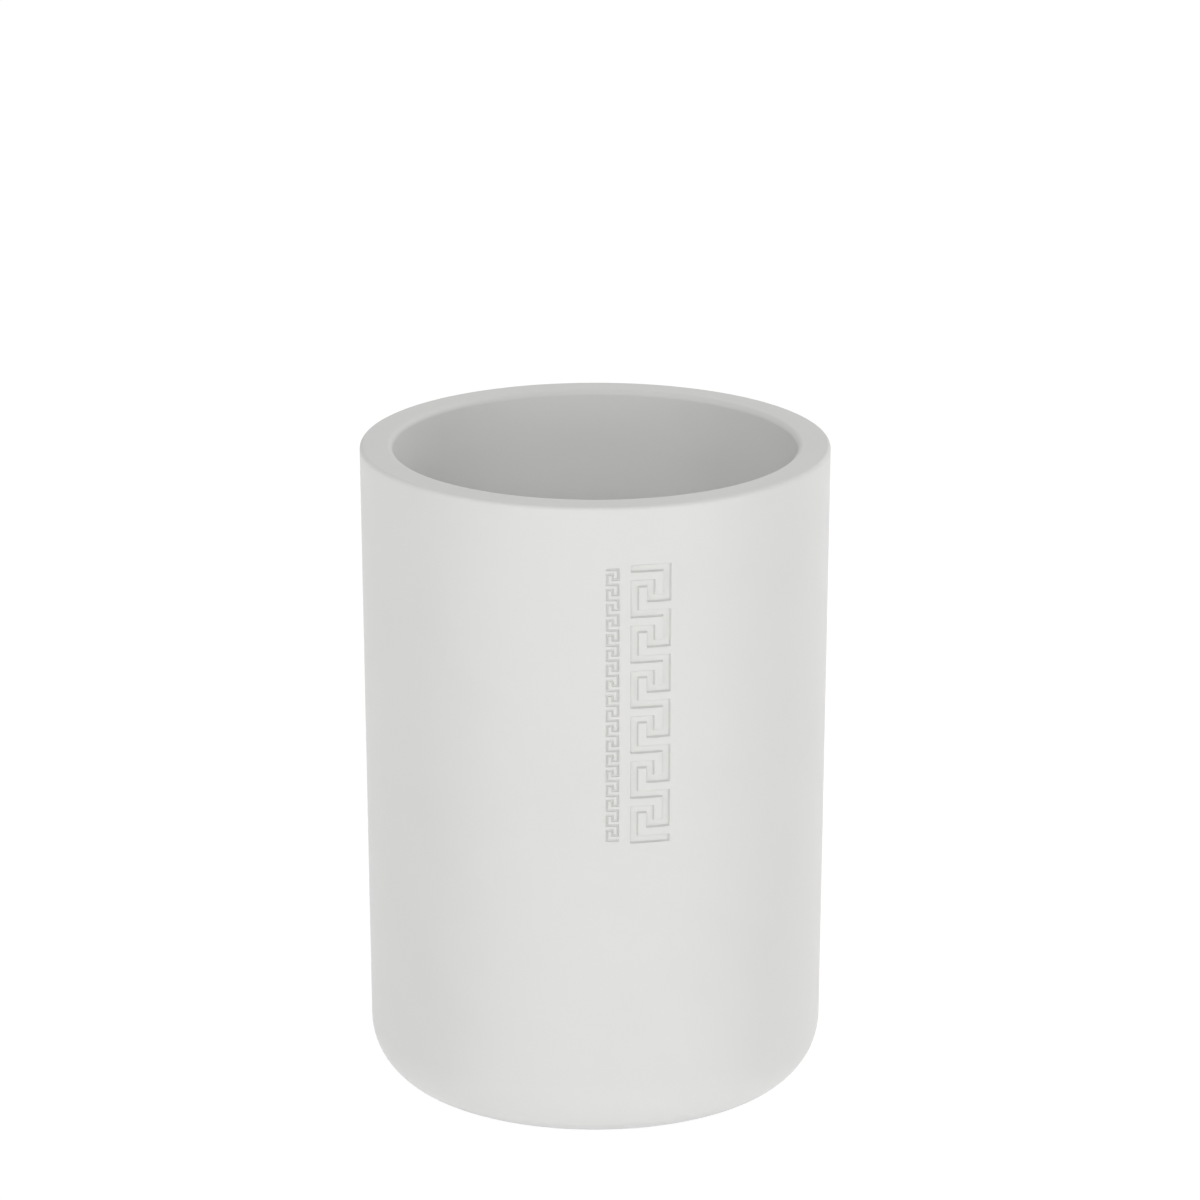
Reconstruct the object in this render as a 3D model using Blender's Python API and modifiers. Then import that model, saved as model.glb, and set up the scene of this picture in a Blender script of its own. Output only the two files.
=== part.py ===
# Polyresin tumbler for a bathroom shelf: a thick-walled cup cast in one piece, with a flat rim
# and a wide rounded foot, that stands on a foam pad glued into a recess under its base.
# Metres, +Z up. The origin is on the axis of the cup, in the plane that the pad stands on.

import math

import bmesh
import bpy
from mathutils import Vector

MM = 0.001

# Outside of the cup
OVERALL_HEIGHT = 103.8 * MM
RIM_DIAMETER = 73.0 * MM
OUTER_DRAFT = math.radians(0.71)
FOOT_ROUNDING = 10.4 * MM
RIM_OUTER_ROUNDING = 0.6 * MM

# Inside of the cup, formed by a core that draws out of the mouth
WALL_AT_RIM = 5.1 * MM
CORE_DRAFT = math.radians(1.0)
FLOOR_THICKNESS = 6.5 * MM
FLOOR_ROUNDING = 6.0 * MM
RIM_INNER_ROUNDING = 0.9 * MM

# Die-cut foam pad, and the recess under the base that it sits in
PAD_THICKNESS = 1.5 * MM
PAD_STANDS_PROUD = 0.5 * MM
PAD_EDGE_ROUNDING = 0.25 * MM
FOOT_RING_WIDTH = 3.0 * MM
PAD_SIDE_CLEARANCE = 0.5 * MM
GLUE_FILM = 0.3 * MM
RECESS_MOUTH_ROUNDING = 0.4 * MM
RECESS_CORNER_ROUNDING = 0.3 * MM

# Finishes: colour, roughness and sheen
COATED_WHITE = (0.76, 0.76, 0.74)
COATED_ROUGHNESS = 0.4
COATED_SHEEN = 0.06
FOAM_GREY = (0.62, 0.62, 0.60)
FOAM_ROUGHNESS = 0.9
FOAM_SHEEN = 0.3

# How finely the round surfaces are divided
TURN_STEPS = 96
LARGE_ARC_STEPS = 10
SMALL_ARC_STEPS = 4
PAD_EDGE_STEPS = 2
AXIS_MERGE = 0.01 * MM
SMOOTH_BELOW = math.radians(30)

# Places that follow from the sizes
RIM_RADIUS = RIM_DIAMETER / 2
BASE_Z = PAD_STANDS_PROUD
BODY_HEIGHT = OVERALL_HEIGHT - BASE_Z
FOOT_RADIUS = RIM_RADIUS - BODY_HEIGHT * math.tan(OUTER_DRAFT)
FOOT_ROUNDING_REACH = FOOT_ROUNDING * math.tan((math.pi / 2 - OUTER_DRAFT) / 2)
RECESS_RADIUS = FOOT_RADIUS - FOOT_ROUNDING_REACH - FOOT_RING_WIDTH
RECESS_Z = PAD_THICKNESS + GLUE_FILM
PAD_RADIUS = RECESS_RADIUS - PAD_SIDE_CLEARANCE
FLOOR_Z = RECESS_Z + FLOOR_THICKNESS
MOUTH_RADIUS = RIM_RADIUS - WALL_AT_RIM
FLOOR_RADIUS = MOUTH_RADIUS - (OVERALL_HEIGHT - FLOOR_Z) * math.tan(CORE_DRAFT)


def clear_scene():
    """Remove the objects that Blender starts with."""
    for obj in list(bpy.data.objects):
        bpy.data.objects.remove(obj, do_unlink=True)


def new_collection(name):
    """A collection of that name, linked to the scene."""
    collection = bpy.data.collections.new(name)
    bpy.context.scene.collection.children.link(collection)
    return collection


def new_material(name, colour, roughness, sheen):
    """A Principled material for one piece."""
    material = bpy.data.materials.new(name)
    material.use_nodes = True
    shader = material.node_tree.nodes["Principled BSDF"]
    shader.inputs["Base Color"].default_value = (*colour, 1.0)
    shader.inputs["Roughness"].default_value = roughness
    shader.inputs["Metallic"].default_value = 0.0
    shader.inputs["Sheen Weight"].default_value = sheen
    material.diffuse_color = (*colour, 1.0)
    return material


def reach_of(before, corner, after, radius):
    """How far from a corner an arc of that radius touches its two sides."""
    opening = (before - corner).angle(after - corner)
    return radius / math.tan(opening / 2)


def arc_between(before, corner, after, reach, steps):
    """Points of the arc that touches both sides of a corner at that reach from it."""
    towards_before = (before - corner).normalized()
    towards_after = (after - corner).normalized()
    opening = towards_before.angle(towards_after)
    middle = (towards_before + towards_after).normalized()
    radius = reach * math.tan(opening / 2)
    centre = corner + middle * radius / math.sin(opening / 2)
    start = corner + towards_before * reach - centre
    end = corner + towards_after * reach - centre
    turn = start.angle(end)
    points = []
    for step in range(steps + 1):
        share = step / steps
        from_start = math.sin((1 - share) * turn) / math.sin(turn)
        from_end = math.sin(share * turn) / math.sin(turn)
        points.append(centre + start * from_start + end * from_end)
    return points


def rounded_outline(corners):
    """An open outline through corners of (radius out, height, rounding, arc steps).

    A rounding is tangent to both its sides. Where two would meet on a side that is too short
    for them, both are drawn in until they fit.
    """
    places = [Vector((out, 0, height)) for out, height, _, _ in corners]
    reaches = [0.0] * len(corners)
    for i in range(1, len(corners) - 1):
        if corners[i][2] > 0:
            reaches[i] = reach_of(places[i - 1], places[i], places[i + 1], corners[i][2])
    fits = [1.0] * len(corners)
    for i in range(len(corners) - 1):
        side = (places[i + 1] - places[i]).length
        wanted = reaches[i] + reaches[i + 1]
        if wanted > side:
            fits[i] = min(fits[i], side / wanted)
            fits[i + 1] = min(fits[i + 1], side / wanted)
    points = []
    for i, (_, _, rounding, steps) in enumerate(corners):
        if rounding > 0:
            reach = reaches[i] * fits[i]
            points += arc_between(places[i - 1], places[i], places[i + 1], reach, steps)
        else:
            points.append(places[i])
    return points


def turned_object(name, outline, collection):
    """An outline in the XZ plane, turned about Z into a closed body by a Screw modifier.

    The outline starts and ends on the axis, and runs down its outer side.
    """
    mesh = bpy.data.meshes.new(name)
    edges = [(i, i + 1) for i in range(len(outline) - 1)]
    mesh.from_pydata([tuple(point) for point in outline], edges, [])
    obj = bpy.data.objects.new(name, mesh)
    collection.objects.link(obj)
    screw = obj.modifiers.new("turn", "SCREW")
    screw.axis = "Z"
    screw.angle = 2 * math.pi
    screw.steps = TURN_STEPS
    screw.render_steps = TURN_STEPS
    screw.use_merge_vertices = True
    screw.merge_threshold = AXIS_MERGE
    screw.use_smooth_shade = True
    return obj


def cup_outline():
    """Half of the cup's section, from the middle of the inner floor, over the rim, to the recess."""
    return rounded_outline(
        [
            (0, FLOOR_Z, 0, 0),
            (FLOOR_RADIUS, FLOOR_Z, FLOOR_ROUNDING, LARGE_ARC_STEPS),
            (MOUTH_RADIUS, OVERALL_HEIGHT, RIM_INNER_ROUNDING, SMALL_ARC_STEPS),
            (RIM_RADIUS, OVERALL_HEIGHT, RIM_OUTER_ROUNDING, SMALL_ARC_STEPS),
            (FOOT_RADIUS, BASE_Z, FOOT_ROUNDING, LARGE_ARC_STEPS),
            (RECESS_RADIUS, BASE_Z, RECESS_MOUTH_ROUNDING, SMALL_ARC_STEPS),
            (RECESS_RADIUS, RECESS_Z, RECESS_CORNER_ROUNDING, SMALL_ARC_STEPS),
            (0, RECESS_Z, 0, 0),
        ]
    )


def make_tumbler_body(collection):
    """The cup, cast in filled polyester resin and sprayed with a matt white coating."""
    body = turned_object("tumbler_body", cup_outline(), collection)
    coating = new_material("coated_resin", COATED_WHITE, COATED_ROUGHNESS, COATED_SHEEN)
    body.data.materials.append(coating)
    flats = body.modifiers.new("flats_shade_flat", "WEIGHTED_NORMAL")
    flats.mode = "FACE_AREA"


def make_foot_pad(collection):
    """The disc of closed-cell foam that keeps the cup from sliding. Glue fills the gap above it."""
    mesh = bpy.data.meshes.new("foot_pad")
    shape = bmesh.new()
    bmesh.ops.create_cone(
        shape,
        cap_ends=True,
        segments=TURN_STEPS,
        radius1=PAD_RADIUS,
        radius2=PAD_RADIUS,
        depth=PAD_THICKNESS,
    )
    shape.to_mesh(mesh)
    shape.free()
    mesh.shade_smooth()
    mesh.set_sharp_from_angle(angle=SMOOTH_BELOW)
    pad = bpy.data.objects.new("foot_pad", mesh)
    pad.location.z = PAD_THICKNESS / 2
    collection.objects.link(pad)
    bevel = pad.modifiers.new("cut_edge", "BEVEL")
    bevel.width = PAD_EDGE_ROUNDING
    bevel.segments = PAD_EDGE_STEPS
    bevel.limit_method = "ANGLE"
    bevel.angle_limit = SMOOTH_BELOW
    pad.data.materials.append(new_material("eva_foam", FOAM_GREY, FOAM_ROUGHNESS, FOAM_SHEEN))


def main():
    clear_scene()
    tumbler = new_collection("polyresin_tumbler")
    make_tumbler_body(tumbler)
    make_foot_pad(tumbler)


main()
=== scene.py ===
import math

import bmesh
import bpy
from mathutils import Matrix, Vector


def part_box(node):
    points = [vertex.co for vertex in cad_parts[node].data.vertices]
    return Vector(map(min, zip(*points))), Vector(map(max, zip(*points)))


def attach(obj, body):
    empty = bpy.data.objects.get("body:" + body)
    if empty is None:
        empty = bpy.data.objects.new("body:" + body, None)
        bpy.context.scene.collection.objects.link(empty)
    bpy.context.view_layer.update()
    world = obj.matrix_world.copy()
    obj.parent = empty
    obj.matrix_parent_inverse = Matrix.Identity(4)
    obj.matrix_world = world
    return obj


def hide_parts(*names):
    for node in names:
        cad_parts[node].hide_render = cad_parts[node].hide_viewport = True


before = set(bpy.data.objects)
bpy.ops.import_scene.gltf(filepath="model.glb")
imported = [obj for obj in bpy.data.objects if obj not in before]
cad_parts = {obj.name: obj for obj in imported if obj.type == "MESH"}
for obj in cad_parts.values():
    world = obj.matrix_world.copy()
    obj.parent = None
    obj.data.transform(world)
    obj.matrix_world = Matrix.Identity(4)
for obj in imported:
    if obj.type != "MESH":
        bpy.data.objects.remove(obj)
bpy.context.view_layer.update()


# Cup
# One casting of mineral-filled polyester resin, poured in a silicone mould round a core that
# draws out of the mouth. Its flash is sanded off by hand and it is sprayed with a soft matt
# white coating. A key border, one large and one fine, is sunk into the front of the wall.
MM = 0.001
CUP_LOW, CUP_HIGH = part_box("tumbler_body")
BASE_Z = CUP_LOW.z
RIM_Z = CUP_HIGH.z
CUP_MIDDLE_Z = (BASE_Z + RIM_Z) / 2
RIM_RADIUS = CUP_HIGH.x
OUTER_DRAFT = math.radians(0.71)
FOOT_RADIUS = RIM_RADIUS - (RIM_Z - BASE_Z) * math.tan(OUTER_DRAFT)
FOOT_ROUNDING = 10.4 * MM
FOOT_ROUNDING_REACH = FOOT_ROUNDING * math.tan((math.pi / 2 - OUTER_DRAFT) / 2)
FOOT_ARC_STEPS = 20
RIM_OUTER_ROUNDING = 0.6 * MM
RIM_INNER_ROUNDING = 0.9 * MM
RIM_ARC_STEPS = 5
WALL_AT_RIM = 5.1 * MM
CORE_DRAFT = math.radians(1.0)
FLOOR_Z = 8.3 * MM
FLOOR_ROUNDING = 6.0 * MM
FLOOR_ROUNDING_REACH = FLOOR_ROUNDING / math.tan((math.pi / 2 + CORE_DRAFT) / 2)
FLOOR_ARC_STEPS = 12
MOUTH_RADIUS = RIM_RADIUS - WALL_AT_RIM
FLOOR_RADIUS = MOUTH_RADIUS - (RIM_Z - FLOOR_Z) * math.tan(CORE_DRAFT)
RECESS_DEPTH = 1.3 * MM
RECESS_ROOF_Z = BASE_Z + RECESS_DEPTH
FOOT_RING_WIDTH = 3.0 * MM
RECESS_RADIUS = FOOT_RADIUS - FOOT_ROUNDING_REACH - FOOT_RING_WIDTH
RECESS_MOUTH_ROUNDING = 0.4 * MM
RECESS_CORNER_ROUNDING = 0.3 * MM
RECESS_ARC_STEPS = 4
COLUMNS = 180
COLUMN_TURN = 2 * math.pi / COLUMNS
COLUMN_SHIFT = COLUMN_TURN / 4
NEAR = 0.05 * MM
NEARLY_LEVEL = 0.1

# The sunk key border: angles run from the front of the cup round to its right, and each run
# starts a whole number of the cup's columns along
KEY_UNIT = ("#####.", "#...#.", "#.###.", "#.#...", "#.####")
KEY_WIDTH = len(KEY_UNIT)
KEY_PITCH = len(KEY_UNIT[0])
LARGE_KEY_COLUMN = 4
LARGE_KEY_START = COLUMN_SHIFT + LARGE_KEY_COLUMN * COLUMN_TURN
LARGE_KEY_PITCHES = 6
FINE_KEY_COLUMN = 1
FINE_KEY_START = COLUMN_SHIFT + FINE_KEY_COLUMN * COLUMN_TURN
FINE_KEY_PITCHES = 18
FINE_SPLIT = 3
FINE_COLUMN_TURN = COLUMN_TURN / FINE_SPLIT
SPLIT_COLUMNS = math.ceil(KEY_WIDTH / FINE_SPLIT)
ROW_HEIGHT = 0.4 * MM
KEY_LOW = 50.2 * MM
LARGE_KEY_ROWS = LARGE_KEY_PITCHES * KEY_PITCH + 1
KEY_HIGH = KEY_LOW + LARGE_KEY_ROWS * FINE_SPLIT * ROW_HEIGHT
LARGE_KEY_DEPTH = 0.6 * MM
LARGE_KEY_SLOPE = 0.16 * MM
FINE_KEY_DEPTH = 0.36 * MM
FINE_KEY_SLOPE = 0.11 * MM
KEY_EDGE_ROUNDING = 0.06 * MM
KEY_EDGE_STEPS = 2
KEY_EDGE_ANGLE = math.radians(30)


def azimuth(point):
    """The angle of a point round the cup, from its front towards its right."""
    return math.atan2(point.x, -point.y)


def distance_out(point):
    """How far a point lies from the cup's axis."""
    return math.hypot(point.x, point.y)


def select_edges(piece, wanted):
    """In edit mode, selects only the edges whose two ends pass a test together."""
    bpy.ops.mesh.select_mode(type="EDGE")
    bpy.ops.mesh.select_all(action="DESELECT")
    mesh = bmesh.from_edit_mesh(piece.data)
    for edge in mesh.edges:
        if wanted(edge.verts[0].co, edge.verts[1].co):
            edge.select_set(True)
    bmesh.update_edit_mesh(piece.data)


def select_ring(piece, radius, height):
    """Selects the ring of edges at that distance from the axis and that height."""

    def on_ring(point):
        return abs(distance_out(point) - radius) < NEAR and abs(point.z - height) < NEAR

    select_edges(piece, lambda a, b: on_ring(a) and on_ring(b))


def select_faces(piece, wanted):
    """In edit mode, selects only the faces whose middle and normal pass a test."""
    bpy.ops.mesh.select_mode(type="FACE")
    bpy.ops.mesh.select_all(action="DESELECT")
    mesh = bmesh.from_edit_mesh(piece.data)
    for face in mesh.faces:
        if wanted(face.calc_center_median(), face.normal):
            face.select_set(True)
    bmesh.update_edit_mesh(piece.data)


def select_cap(piece, height):
    """Selects the one large face that lies across the axis at that height."""

    def on_axis(middle, normal):
        return distance_out(middle) < NEAR and abs(middle.z - height) < NEAR

    select_faces(piece, on_axis)


def round_ring(piece, radius, height, reach, steps):
    """Rounds the ring of edges there. The rounding touches both its sides at that reach."""
    select_ring(piece, radius, height)
    bpy.ops.mesh.bevel(offset=reach, offset_type="OFFSET", segments=steps, affect="EDGES")


def fan_cap(piece, height):
    """Turns the large face across the axis at that height into a fan round its middle."""
    select_cap(piece, height)
    bpy.ops.mesh.poke()


def shade_smooth(piece):
    """Shades a piece smooth, with its large flats kept flat."""
    bpy.ops.object.shade_smooth()
    flats = piece.modifiers.new("flats_shade_flat", "WEIGHTED_NORMAL")
    bpy.ops.object.modifier_apply(modifier=flats.name)


bpy.ops.object.select_all(action="DESELECT")
bpy.ops.mesh.primitive_cone_add(
    vertices=COLUMNS,
    radius1=FOOT_RADIUS,
    radius2=RIM_RADIUS,
    depth=RIM_Z - BASE_Z,
    location=(0, 0, CUP_MIDDLE_Z),
    rotation=(0, 0, COLUMN_SHIFT),
)
cup = bpy.context.object
cup.name = "resin_cup"
bpy.ops.object.transform_apply(location=True, rotation=True, scale=True)
bpy.ops.object.mode_set(mode="EDIT")

# The hollow is drawn down from the rim, then each corner of the section is rounded
select_cap(cup, RIM_Z)
bpy.ops.mesh.inset(thickness=WALL_AT_RIM)
bpy.ops.mesh.extrude_region_move(TRANSFORM_OT_translate={"value": (0, 0, FLOOR_Z - RIM_Z)})
floor_scale = FLOOR_RADIUS / MOUTH_RADIUS
bpy.ops.transform.resize(value=(floor_scale, floor_scale, 1), center_override=(0, 0, FLOOR_Z))
round_ring(cup, FLOOR_RADIUS, FLOOR_Z, FLOOR_ROUNDING_REACH, FLOOR_ARC_STEPS)
round_ring(cup, MOUTH_RADIUS, RIM_Z, RIM_INNER_ROUNDING, RIM_ARC_STEPS)
round_ring(cup, RIM_RADIUS, RIM_Z, RIM_OUTER_ROUNDING, RIM_ARC_STEPS)
round_ring(cup, FOOT_RADIUS, BASE_Z, FOOT_ROUNDING_REACH, FOOT_ARC_STEPS)

# The recess for the pad is sunk into the base
select_cap(cup, BASE_Z)
bpy.ops.mesh.inset(thickness=FOOT_RING_WIDTH)
bpy.ops.mesh.extrude_region_move(TRANSFORM_OT_translate={"value": (0, 0, RECESS_DEPTH)})
round_ring(cup, RECESS_RADIUS, BASE_Z, RECESS_MOUTH_ROUNDING, RECESS_ARC_STEPS)
round_ring(cup, RECESS_RADIUS, RECESS_ROOF_Z, RECESS_CORNER_ROUNDING, RECESS_ARC_STEPS)
fan_cap(cup, FLOOR_Z)
fan_cap(cup, RECESS_ROOF_Z)

# A few columns are split finer, all the way round the section, for the fine border
select_edges(
    cup,
    lambda a, b: abs(a.z - b.z) < NEAR
    and abs(distance_out(a) - distance_out(b)) < NEAR
    and FINE_KEY_START < azimuth((a + b) / 2) < FINE_KEY_START + SPLIT_COLUMNS * COLUMN_TURN,
)
bpy.ops.mesh.subdivide(number_cuts=FINE_SPLIT - 1)


def on_outer_wall(middle, normal):
    """Whether a face belongs to the outer wall: far out, and with a nearly level normal."""
    return distance_out(middle) > MOUTH_RADIUS and abs(normal.z) < NEARLY_LEVEL


def upright_in_border(a, b):
    """Whether an edge runs up the outer wall between the two ends of the border."""
    outside = distance_out(a) > MOUTH_RADIUS
    between_ends = KEY_LOW - NEAR < min(a.z, b.z) and max(a.z, b.z) < KEY_HIGH + NEAR
    return outside and between_ends and abs(a.z - b.z) > NEAR


# Rows for the border are cut round the outer wall: level with its ends, then evenly between for
# the large key, then each split for the fine one
for height in (KEY_LOW, KEY_HIGH):
    select_faces(cup, on_outer_wall)
    bpy.ops.mesh.bisect(plane_co=(0, 0, height), plane_no=(0, 0, 1))
for rows in (LARGE_KEY_ROWS, FINE_SPLIT):
    select_edges(cup, upright_in_border)
    bpy.ops.mesh.subdivide(number_cuts=rows - 1)


def in_key(along, across, pitches):
    """Whether the border's line covers that cell, counted along the border and across it."""
    covered = 0 <= across < KEY_WIDTH and 0 <= along <= pitches * KEY_PITCH
    return covered and KEY_UNIT[across][along % KEY_PITCH] == "#"


def in_large_key(middle, normal):
    """Whether a face lies in the large key, which starts in the lowest row."""
    along = math.floor((middle.z - KEY_LOW) / (ROW_HEIGHT * FINE_SPLIT))
    across = math.floor((azimuth(middle) - LARGE_KEY_START) / COLUMN_TURN)
    return on_outer_wall(middle, normal) and in_key(along, across, LARGE_KEY_PITCHES)


def in_fine_key(middle, normal):
    """Whether a face lies in the fine key, which starts in the second of the fine rows."""
    along = math.floor((middle.z - KEY_LOW) / ROW_HEIGHT) - 1
    across = math.floor((azimuth(middle) - FINE_KEY_START) / FINE_COLUMN_TURN)
    return on_outer_wall(middle, normal) and in_key(along, across, FINE_KEY_PITCHES)


for in_border, slope, depth in (
    (in_large_key, LARGE_KEY_SLOPE, LARGE_KEY_DEPTH),
    (in_fine_key, FINE_KEY_SLOPE, FINE_KEY_DEPTH),
):
    select_faces(cup, in_border)
    bpy.ops.mesh.inset(thickness=slope, depth=-depth)
bpy.ops.object.mode_set(mode="OBJECT")

rounding = cup.modifiers.new("soft_border_edges", "BEVEL")
rounding.width = KEY_EDGE_ROUNDING
rounding.segments = KEY_EDGE_STEPS
rounding.limit_method = "ANGLE"
rounding.angle_limit = KEY_EDGE_ANGLE
bpy.ops.object.modifier_apply(modifier=rounding.name)
shade_smooth(cup)


class Flow:
    """A value on its way through a tree of shader nodes. Sums on it add Math nodes."""

    def __init__(self, tree, socket=None):
        self.tree = tree
        self.socket = socket

    def node(self, kind, settings, feeds, pick=0):
        """Adds a node, sets it up, feeds its sockets and returns one of its outputs."""
        added = self.tree.nodes.new(kind)
        for name, value in settings.items():
            setattr(added, name, value)
        for name, value in feeds.items():
            self.feed(added.inputs[name], value)
        return Flow(self.tree, added.outputs[pick])

    def feed(self, socket, value):
        """Links another value to a socket, or sets the socket to a constant."""
        if isinstance(value, Flow):
            self.tree.links.new(value.socket, socket)
        else:
            socket.default_value = value

    def maths(self, operation, *values):
        return self.node("ShaderNodeMath", {"operation": operation}, dict(enumerate(values)))

    def __add__(self, other):
        return self.maths("ADD", self, other)

    def __radd__(self, other):
        return self.maths("ADD", other, self)

    def __sub__(self, other):
        return self.maths("SUBTRACT", self, other)

    def __rsub__(self, other):
        return self.maths("SUBTRACT", other, self)

    def __mul__(self, other):
        return self.maths("MULTIPLY", self, other)

    def __rmul__(self, other):
        return self.maths("MULTIPLY", other, self)

    def rise(self, low, high):
        """From 0 at low to 1 at high, easing in and out."""
        settings = {"interpolation_type": "SMOOTHSTEP"}
        feeds = {"Value": self, "From Min": low, "From Max": high}
        return self.node("ShaderNodeMapRange", settings, feeds)

    def between(self, colour, other):
        """A colour that goes from one to the other as this value goes from 0 to 1."""
        factor, first, second, result = 0, 6, 7, 2
        feeds = {factor: self, first: colour, second: other}
        return self.node("ShaderNodeMix", {"data_type": "RGBA"}, feeds, result)

    def noise(self, lumps, detail, roughness=0.5):
        """Noise at this place, about 0 to 1, with that many lumps to the metre."""
        feeds = {"Vector": self, "Scale": lumps, "Detail": detail, "Roughness": roughness}
        return self.node("ShaderNodeTexNoise", {}, feeds)

    def cells(self, to_the_metre):
        """The distance of this place from the middle of the nearest of scattered cells."""
        feeds = {"Vector": self, "Scale": to_the_metre}
        return self.node("ShaderNodeTexVoronoi", {}, feeds, "Distance")

    def bump(self, distance, strength, before=None):
        """The normal tipped by this height, on top of another bump if one is given."""
        feeds = {"Height": self, "Distance": distance, "Strength": strength}
        if before is not None:
            feeds["Normal"] = before
        return self.node("ShaderNodeBump", {}, feeds)


def new_finish(name):
    """A new material, its Principled shader's sockets and a Flow that starts in its nodes."""
    material = bpy.data.materials.new(name)
    material.use_nodes = True
    return material, material.node_tree.nodes["Principled BSDF"].inputs, Flow(material.node_tree)


# The coat lies on in faint clouds, with the peel of a spray gun and a rare nib of dust. It is
# rougher in the sunk lines, whose colour is darkened there as painted shade, and dry and matt
# inside the cup where the gun doesn't reach well, with a slightly darker, cooler white painted
# there as shade. It is rubbed drier on the sanded rim, and leaves the recess bare.
COAT_WHITE = (0.762, 0.7605, 0.742, 1)
COAT_THIN = (0.737, 0.7355, 0.717, 1)
# Painted shade: a darker colour for the sunk lines, standing in for the shade on their walls
PAINTED_SHADE_IN_LINES = (0.68, 0.6785, 0.661, 1)
# Painted shade: a slightly darker, cooler white inside the cup
PAINTED_SHADE_INSIDE = (0.757, 0.757, 0.747, 1)
BARE_RESIN = (0.66, 0.645, 0.60, 1)
COAT_SHEEN = 0.06

# Noise: lumps to the metre and detail, and for the grain its roughness too
CLOUD_NOISE = (70, 3)
PEEL_NOISE = (900, 2)
GRAIN_NOISE = (5200, 3, 0.6)
NIBS_TO_THE_METRE = 160

# Bumps: height and strength
CLOUD_BUMP = (0.03 * MM, 0.5)
PEEL_BUMP = (0.010 * MM, 0.4)
GRAIN_BUMP = (0.004 * MM, 0.4)
NIB_BUMP = (0.012 * MM, 0.5)

# Where the change at each edge of a mask starts and where it ends
NIB_EDGE = (0.015, 0.045)
THIN_IN_CLOUDS = (0.45, 0.75)
THIN_IN_GRAIN = (0.55, 0.8)
LINES_FROM = (0.08 * MM, 0.3 * MM)
LINES_TO = (0.42 * MM, 0.55 * MM)
RECESS_SIDE = (RECESS_RADIUS - 0.1 * MM, RECESS_RADIUS + 0.3 * MM)
RECESS_TOP = (FLOOR_Z - 3 * MM, FLOOR_Z - 2 * MM)
RUBBED_FROM = (RIM_Z - 1.2 * MM, RIM_Z - 0.5 * MM)
INSIDE_TO = (MOUTH_RADIUS, MOUTH_RADIUS + 0.5 * MM)

# How much the clouds and the grain thin the coat, how rough it is, and where it is rougher
CLOUD_THINNING = 0.35
GRAIN_THINNING = 0.25
COAT_ROUGHNESS = 0.34
ROUGHER_IN_CLOUDS = 0.08
ROUGHER_IN_GRAIN = 0.06
ROUGHER_RUBBED = 0.25
ROUGHER_IN_LINES = 0.08
ROUGHER_IN_RECESS = 0.1
ROUGHER_INSIDE = 0.25

coating, sockets, start = new_finish("soft_matt_coating")
place = start.node("ShaderNodeTexCoord", {}, {}, "Object")
up = start.node("ShaderNodeSeparateXYZ", {}, {"Vector": place}, "Z")
level = start.node("ShaderNodeVectorMath", {"operation": "MULTIPLY"}, {0: place, 1: (1, 1, 0)})
out = start.node("ShaderNodeVectorMath", {"operation": "LENGTH"}, {0: level}, "Value")
sunk = RIM_RADIUS - (RIM_Z - up) * math.tan(OUTER_DRAFT) - out
key_band = up.rise(KEY_LOW - MM, KEY_LOW) * (1 - up.rise(KEY_HIGH, KEY_HIGH + MM))
# Mask of the sunk lines: it carries their painted shade and makes them rougher
in_lines = sunk.rise(*LINES_FROM) * (1 - sunk.rise(*LINES_TO)) * key_band
in_recess = (1 - out.rise(*RECESS_SIDE)) * (1 - up.rise(*RECESS_TOP))
clouds = place.noise(*CLOUD_NOISE)
peel = place.noise(*PEEL_NOISE)
grain = place.noise(*GRAIN_NOISE)
nibs = 1 - place.cells(NIBS_TO_THE_METRE).rise(*NIB_EDGE)
rubbed = up.rise(*RUBBED_FROM)
# Mask of the inside of the cup: it makes it rougher and carries its painted cool shade
inside = (1 - out.rise(*INSIDE_TO)) * (1 - in_recess) * (1 - rubbed)
thin = clouds.rise(*THIN_IN_CLOUDS) * CLOUD_THINNING + grain.rise(*THIN_IN_GRAIN) * GRAIN_THINNING
coat_colour = thin.between(COAT_WHITE, COAT_THIN)
# Painted shade: the sunk lines are darkened
coat_colour = in_lines.between(coat_colour, PAINTED_SHADE_IN_LINES)
# Painted shade: the inside of the cup is made slightly darker and cooler
coat_colour = inside.between(coat_colour, PAINTED_SHADE_INSIDE)
surface = clouds.bump(*CLOUD_BUMP)
surface = peel.bump(*PEEL_BUMP, surface)
surface = grain.bump(*GRAIN_BUMP, surface)
surface = nibs.bump(*NIB_BUMP, surface)
start.feed(sockets["Base Color"], in_recess.between(coat_colour, BARE_RESIN))
start.feed(
    sockets["Roughness"],
    COAT_ROUGHNESS
    + ROUGHER_IN_CLOUDS * clouds
    + ROUGHER_IN_GRAIN * grain
    + ROUGHER_RUBBED * rubbed
    + ROUGHER_IN_LINES * in_lines
    + ROUGHER_IN_RECESS * in_recess
    + ROUGHER_INSIDE * inside,
)
start.feed(sockets["Normal"], surface)
sockets["Sheen Weight"].default_value = COAT_SHEEN
cup.data.materials.append(coating)
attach(cup, "root")
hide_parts("tumbler_body")


# Foot pad
# A disc die-cut from closed-cell foam sheet with a fine skin on both faces, glued into the
# recess under the base so that the cup doesn't slide. The cut draws its edge in a little.
PAD_LOW, PAD_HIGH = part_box("foot_pad")
PAD_RADIUS = PAD_HIGH.x
PAD_THICKNESS = PAD_HIGH.z - PAD_LOW.z
PAD_MIDDLE_Z = (PAD_LOW.z + PAD_HIGH.z) / 2
PAD_COLUMNS = 144
PAD_WAIST = 0.06 * MM
PAD_FACE_ROUNDING = 0.22 * MM
PAD_ARC_STEPS = 3

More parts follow.
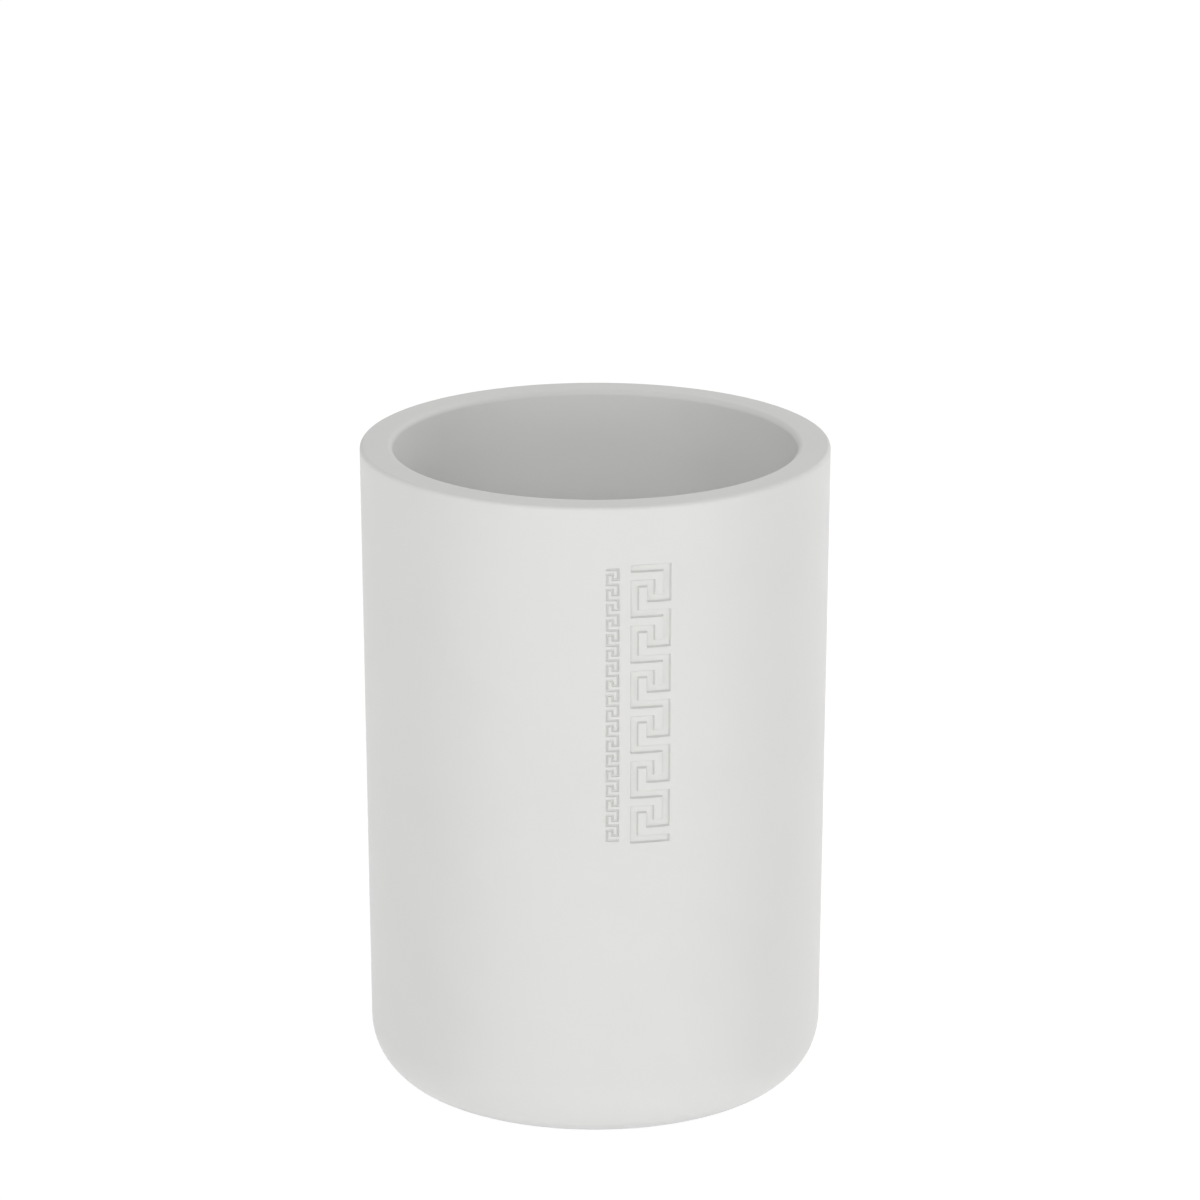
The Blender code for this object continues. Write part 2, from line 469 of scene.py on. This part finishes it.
bpy.ops.object.select_all(action="DESELECT")
bpy.ops.mesh.primitive_cylinder_add(
    vertices=PAD_COLUMNS,
    radius=PAD_RADIUS,
    depth=PAD_THICKNESS,
    location=(0, 0, PAD_MIDDLE_Z),
)
pad = bpy.context.object
pad.name = "foam_foot_pad"
bpy.ops.object.transform_apply(location=True, rotation=True, scale=True)
bpy.ops.object.mode_set(mode="EDIT")
select_edges(pad, lambda a, b: abs(a.z - b.z) > PAD_THICKNESS / 2)
bpy.ops.mesh.subdivide(number_cuts=1)
select_ring(pad, PAD_RADIUS, PAD_MIDDLE_Z)
waist_scale = 1 - PAD_WAIST / PAD_RADIUS
bpy.ops.transform.resize(value=(waist_scale, waist_scale, 1), center_override=(0, 0, 0))
for face_z in (PAD_LOW.z, PAD_HIGH.z):
    round_ring(pad, PAD_RADIUS, face_z, PAD_FACE_ROUNDING, PAD_ARC_STEPS)
    fan_cap(pad, face_z)
bpy.ops.object.mode_set(mode="OBJECT")
shade_smooth(pad)

# The foam's pores show faintly all over through its skin, and plainly where the skin is thin
FOAM_GREY = (0.62, 0.62, 0.60, 1)
FOAM_PORE = (0.45, 0.45, 0.435, 1)
FOAM_SHEEN = 0.2
PORES_TO_THE_METRE = 2600
SKIN_NOISE = (700, 3)
PORE_EDGE = (0.05, 0.32)
THIN_SKIN = (0.4, 0.7)
PORES_IN_THIN_SKIN = 0.5
PORES_ALL_OVER = 0.2
FOAM_ROUGHNESS = 0.82
ROUGHER_IN_SKIN = 0.12
SKIN_BUMP = (0.05 * MM, 0.5)
PORE_BUMP = (-0.03 * MM, 0.6)

foam, sockets, start = new_finish("foam_skin")
place = start.node("ShaderNodeTexCoord", {}, {}, "Object")
skin = place.noise(*SKIN_NOISE)
pores = 1 - place.cells(PORES_TO_THE_METRE).rise(*PORE_EDGE)
shown = pores * PORES_IN_THIN_SKIN * skin.rise(*THIN_SKIN) + pores * PORES_ALL_OVER
start.feed(sockets["Base Color"], shown.between(FOAM_GREY, FOAM_PORE))
start.feed(sockets["Roughness"], FOAM_ROUGHNESS + ROUGHER_IN_SKIN * skin)
start.feed(sockets["Normal"], pores.bump(*PORE_BUMP, skin.bump(*SKIN_BUMP)))
sockets["Sheen Weight"].default_value = FOAM_SHEEN
pad.data.materials.append(foam)
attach(pad, "root")
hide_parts("foot_pad")


# Ground
# A plain white board under the cup, wide enough to fill the view. It shows as white to the
# camera and to reflections, and keeps part of its shading there so that the cup's shadow stays.
GROUND_WIDTH = 8.0
GROUND_GAP = 0.05 * MM
GROUND_COLOUR = (0.86, 0.86, 0.86, 1)
GROUND_ROUGHNESS = 0.8
GROUND_WHITE_SHARE = 0.8
GROUND_WHITE = 1.08
GROUND_GLOW = 0.238
GROUND_GLOW_COLOUR = (0.995, 1.0, 1.01, 1)

bpy.ops.object.select_all(action="DESELECT")
bpy.ops.mesh.primitive_plane_add(size=GROUND_WIDTH, location=(0, 0, -GROUND_GAP))
ground = bpy.context.object
ground.name = "ground"
board, sockets, start = new_finish("white_board")
sockets["Base Color"].default_value = GROUND_COLOUR
sockets["Roughness"].default_value = GROUND_ROUGHNESS
sockets["Emission Color"].default_value = GROUND_GLOW_COLOUR
sockets["Emission Strength"].default_value = GROUND_GLOW


def seen_directly(start):
    """1 for rays from the camera, or mirrored or let through by a piece, and 0 for others."""
    rays = [
        start.node("ShaderNodeLightPath", {}, {}, name)
        for name in ("Is Camera Ray", "Is Glossy Ray", "Is Transmission Ray")
    ]
    return start.maths("MAXIMUM", rays[0], start.maths("MAXIMUM", rays[1], rays[2]))


shaded = Flow(board.node_tree, board.node_tree.nodes["Principled BSDF"].outputs["BSDF"])
glow = start.node("ShaderNodeEmission", {}, {"Strength": GROUND_WHITE})
share = seen_directly(start) * GROUND_WHITE_SHARE
ground_surface = start.node("ShaderNodeMixShader", {}, {0: share, 1: shaded, 2: glow})
start.feed(board.node_tree.nodes["Material Output"].inputs["Surface"], ground_surface)
ground.data.materials.append(board)


# Light
# A soft studio: an even surround, and softboxes in front, at the sides and behind. A low narrow
# one on each side of the camera draws a soft streak down the wall.
SURROUND = (0.2, 0.201, 0.205, 1)
WHITE = (1, 1, 1, 1)
LAMP_DISTANCE = 1.6
BROAD = (0.5, 0.5)
NARROW = (0.2, 0.3)

scene = bpy.context.scene
world = bpy.data.worlds.new("studio")
world.use_nodes = True
scene.world = world
background = world.node_tree.nodes["Background"].inputs
start = Flow(world.node_tree)
start.feed(background["Color"], seen_directly(start).between(SURROUND, WHITE))


def softbox(name, around, up, size, power):
    """An area lamp, placed round the cup by two angles in degrees and turned to its middle."""
    around = math.radians(around)
    up = math.radians(up)
    lamp = bpy.data.lights.new(name, "AREA")
    lamp.shape = "RECTANGLE"
    lamp.size, lamp.size_y = size
    lamp.energy = power
    placed = bpy.data.objects.new(name, lamp)
    scene.collection.objects.link(placed)
    placed.location = (
        LAMP_DISTANCE * math.sin(around) * math.cos(up),
        -LAMP_DISTANCE * math.cos(around) * math.cos(up),
        CUP_MIDDLE_Z + LAMP_DISTANCE * math.sin(up),
    )
    placed.rotation_euler = (math.pi / 2 - up, 0, around)


softbox("front", around=0, up=25, size=BROAD, power=6.15)
softbox("left", around=-30, up=24, size=BROAD, power=1.4)
softbox("right", around=38, up=23, size=BROAD, power=2.0)
softbox("left_streak", around=-42, up=6, size=NARROW, power=1.4)
softbox("right_streak", around=45, up=6, size=NARROW, power=1.9)
softbox("left_side", around=-85, up=40, size=BROAD, power=2.1)
softbox("right_side", around=85, up=40, size=BROAD, power=1.2)
softbox("back_left", around=-130, up=45, size=BROAD, power=3.3)
softbox("back_right", around=140, up=25, size=BROAD, power=5.0)
softbox("back_high", around=130, up=45, size=BROAD, power=2.4)


# Camera
# It stands where the photograph's camera did: 1.2 m away with a long lens, 18 degrees above the
# middle of the cup. Its aim was fitted to the outline of the cup and both edges of the rim.
PHOTO_WIDTH_PX = 1200
FOCAL_LENGTH_PX = 7650
SENSOR_WIDTH = 36
CAMERA_DISTANCE = 1.2
CAMERA_HEIGHT_ANGLE = 0.31161
CAMERA_PITCH = 0.29065
CAMERA_YAW = 0.00065

camera_data = bpy.data.cameras.new("camera")
camera_data.sensor_width = SENSOR_WIDTH
camera_data.lens = FOCAL_LENGTH_PX * SENSOR_WIDTH / PHOTO_WIDTH_PX
camera = bpy.data.objects.new("camera", camera_data)
scene.collection.objects.link(camera)
camera.location = (
    0,
    -CAMERA_DISTANCE * math.cos(CAMERA_HEIGHT_ANGLE),
    CUP_MIDDLE_Z + CAMERA_DISTANCE * math.sin(CAMERA_HEIGHT_ANGLE),
)
camera.rotation_euler = (math.pi / 2 - CAMERA_PITCH, 0, -CAMERA_YAW)
scene.camera = camera
scene.view_settings.view_transform = "Standard"
